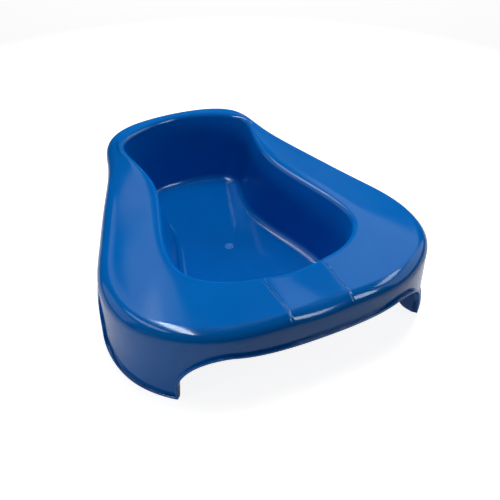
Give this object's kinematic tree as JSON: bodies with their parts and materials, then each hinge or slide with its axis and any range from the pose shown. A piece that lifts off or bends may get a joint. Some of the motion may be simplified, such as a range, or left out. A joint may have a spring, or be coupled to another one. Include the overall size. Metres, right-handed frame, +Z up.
{
  "type": "bedpan",
  "caption": "Moulded plastic bedpan with a saddle-shaped seat deck, pinched basin, pour channel, hemmed skirt and arched feet.",
  "frame": {"origin": "centre of the bounding box on the ground plane that the feet stand on", "axes": "+X across to the right side, +Y along the pan to its narrow back end, -Y to the wide front with the pour channel, +Z up"},
  "size_m": [0.3036, 0.3537, 0.0823],
  "materials": {
    "pan_plastic": "glossy moulded",
    "gate_vestige": "stress-whitened moulded"
  },
  "bodies": {
    "root": {"seat_deck_left": "pan_plastic", "seat_deck_right": "pan_plastic", "seat_deck_rear": "pan_plastic", "pour_channel": "pan_plastic", "rolled_edge": "pan_plastic", "basin_lip": "pan_plastic", "basin_wall_front": "pan_plastic", "basin_wall_left": "pan_plastic", "basin_wall_right": "pan_plastic", "basin_wall_rear": "pan_plastic", "basin_heel": "pan_plastic", "basin_floor": "pan_plastic", "gate_mark": "gate_vestige", "apron_front": "pan_plastic", "apron_left": "pan_plastic", "apron_right": "pan_plastic", "apron_rear": "pan_plastic", "hem_front": "pan_plastic", "hem_left": "pan_plastic", "hem_right": "pan_plastic", "hem_rear": "pan_plastic", "foot_front_left": "pan_plastic", "foot_front_right": "pan_plastic", "foot_rear_left": "pan_plastic", "foot_rear_right": "pan_plastic", "foot_webs_front_left": "pan_plastic", "foot_webs_front_right": "pan_plastic", "foot_webs_rear_left": "pan_plastic", "foot_webs_rear_right": "pan_plastic"}
  },
  "joints": []
}
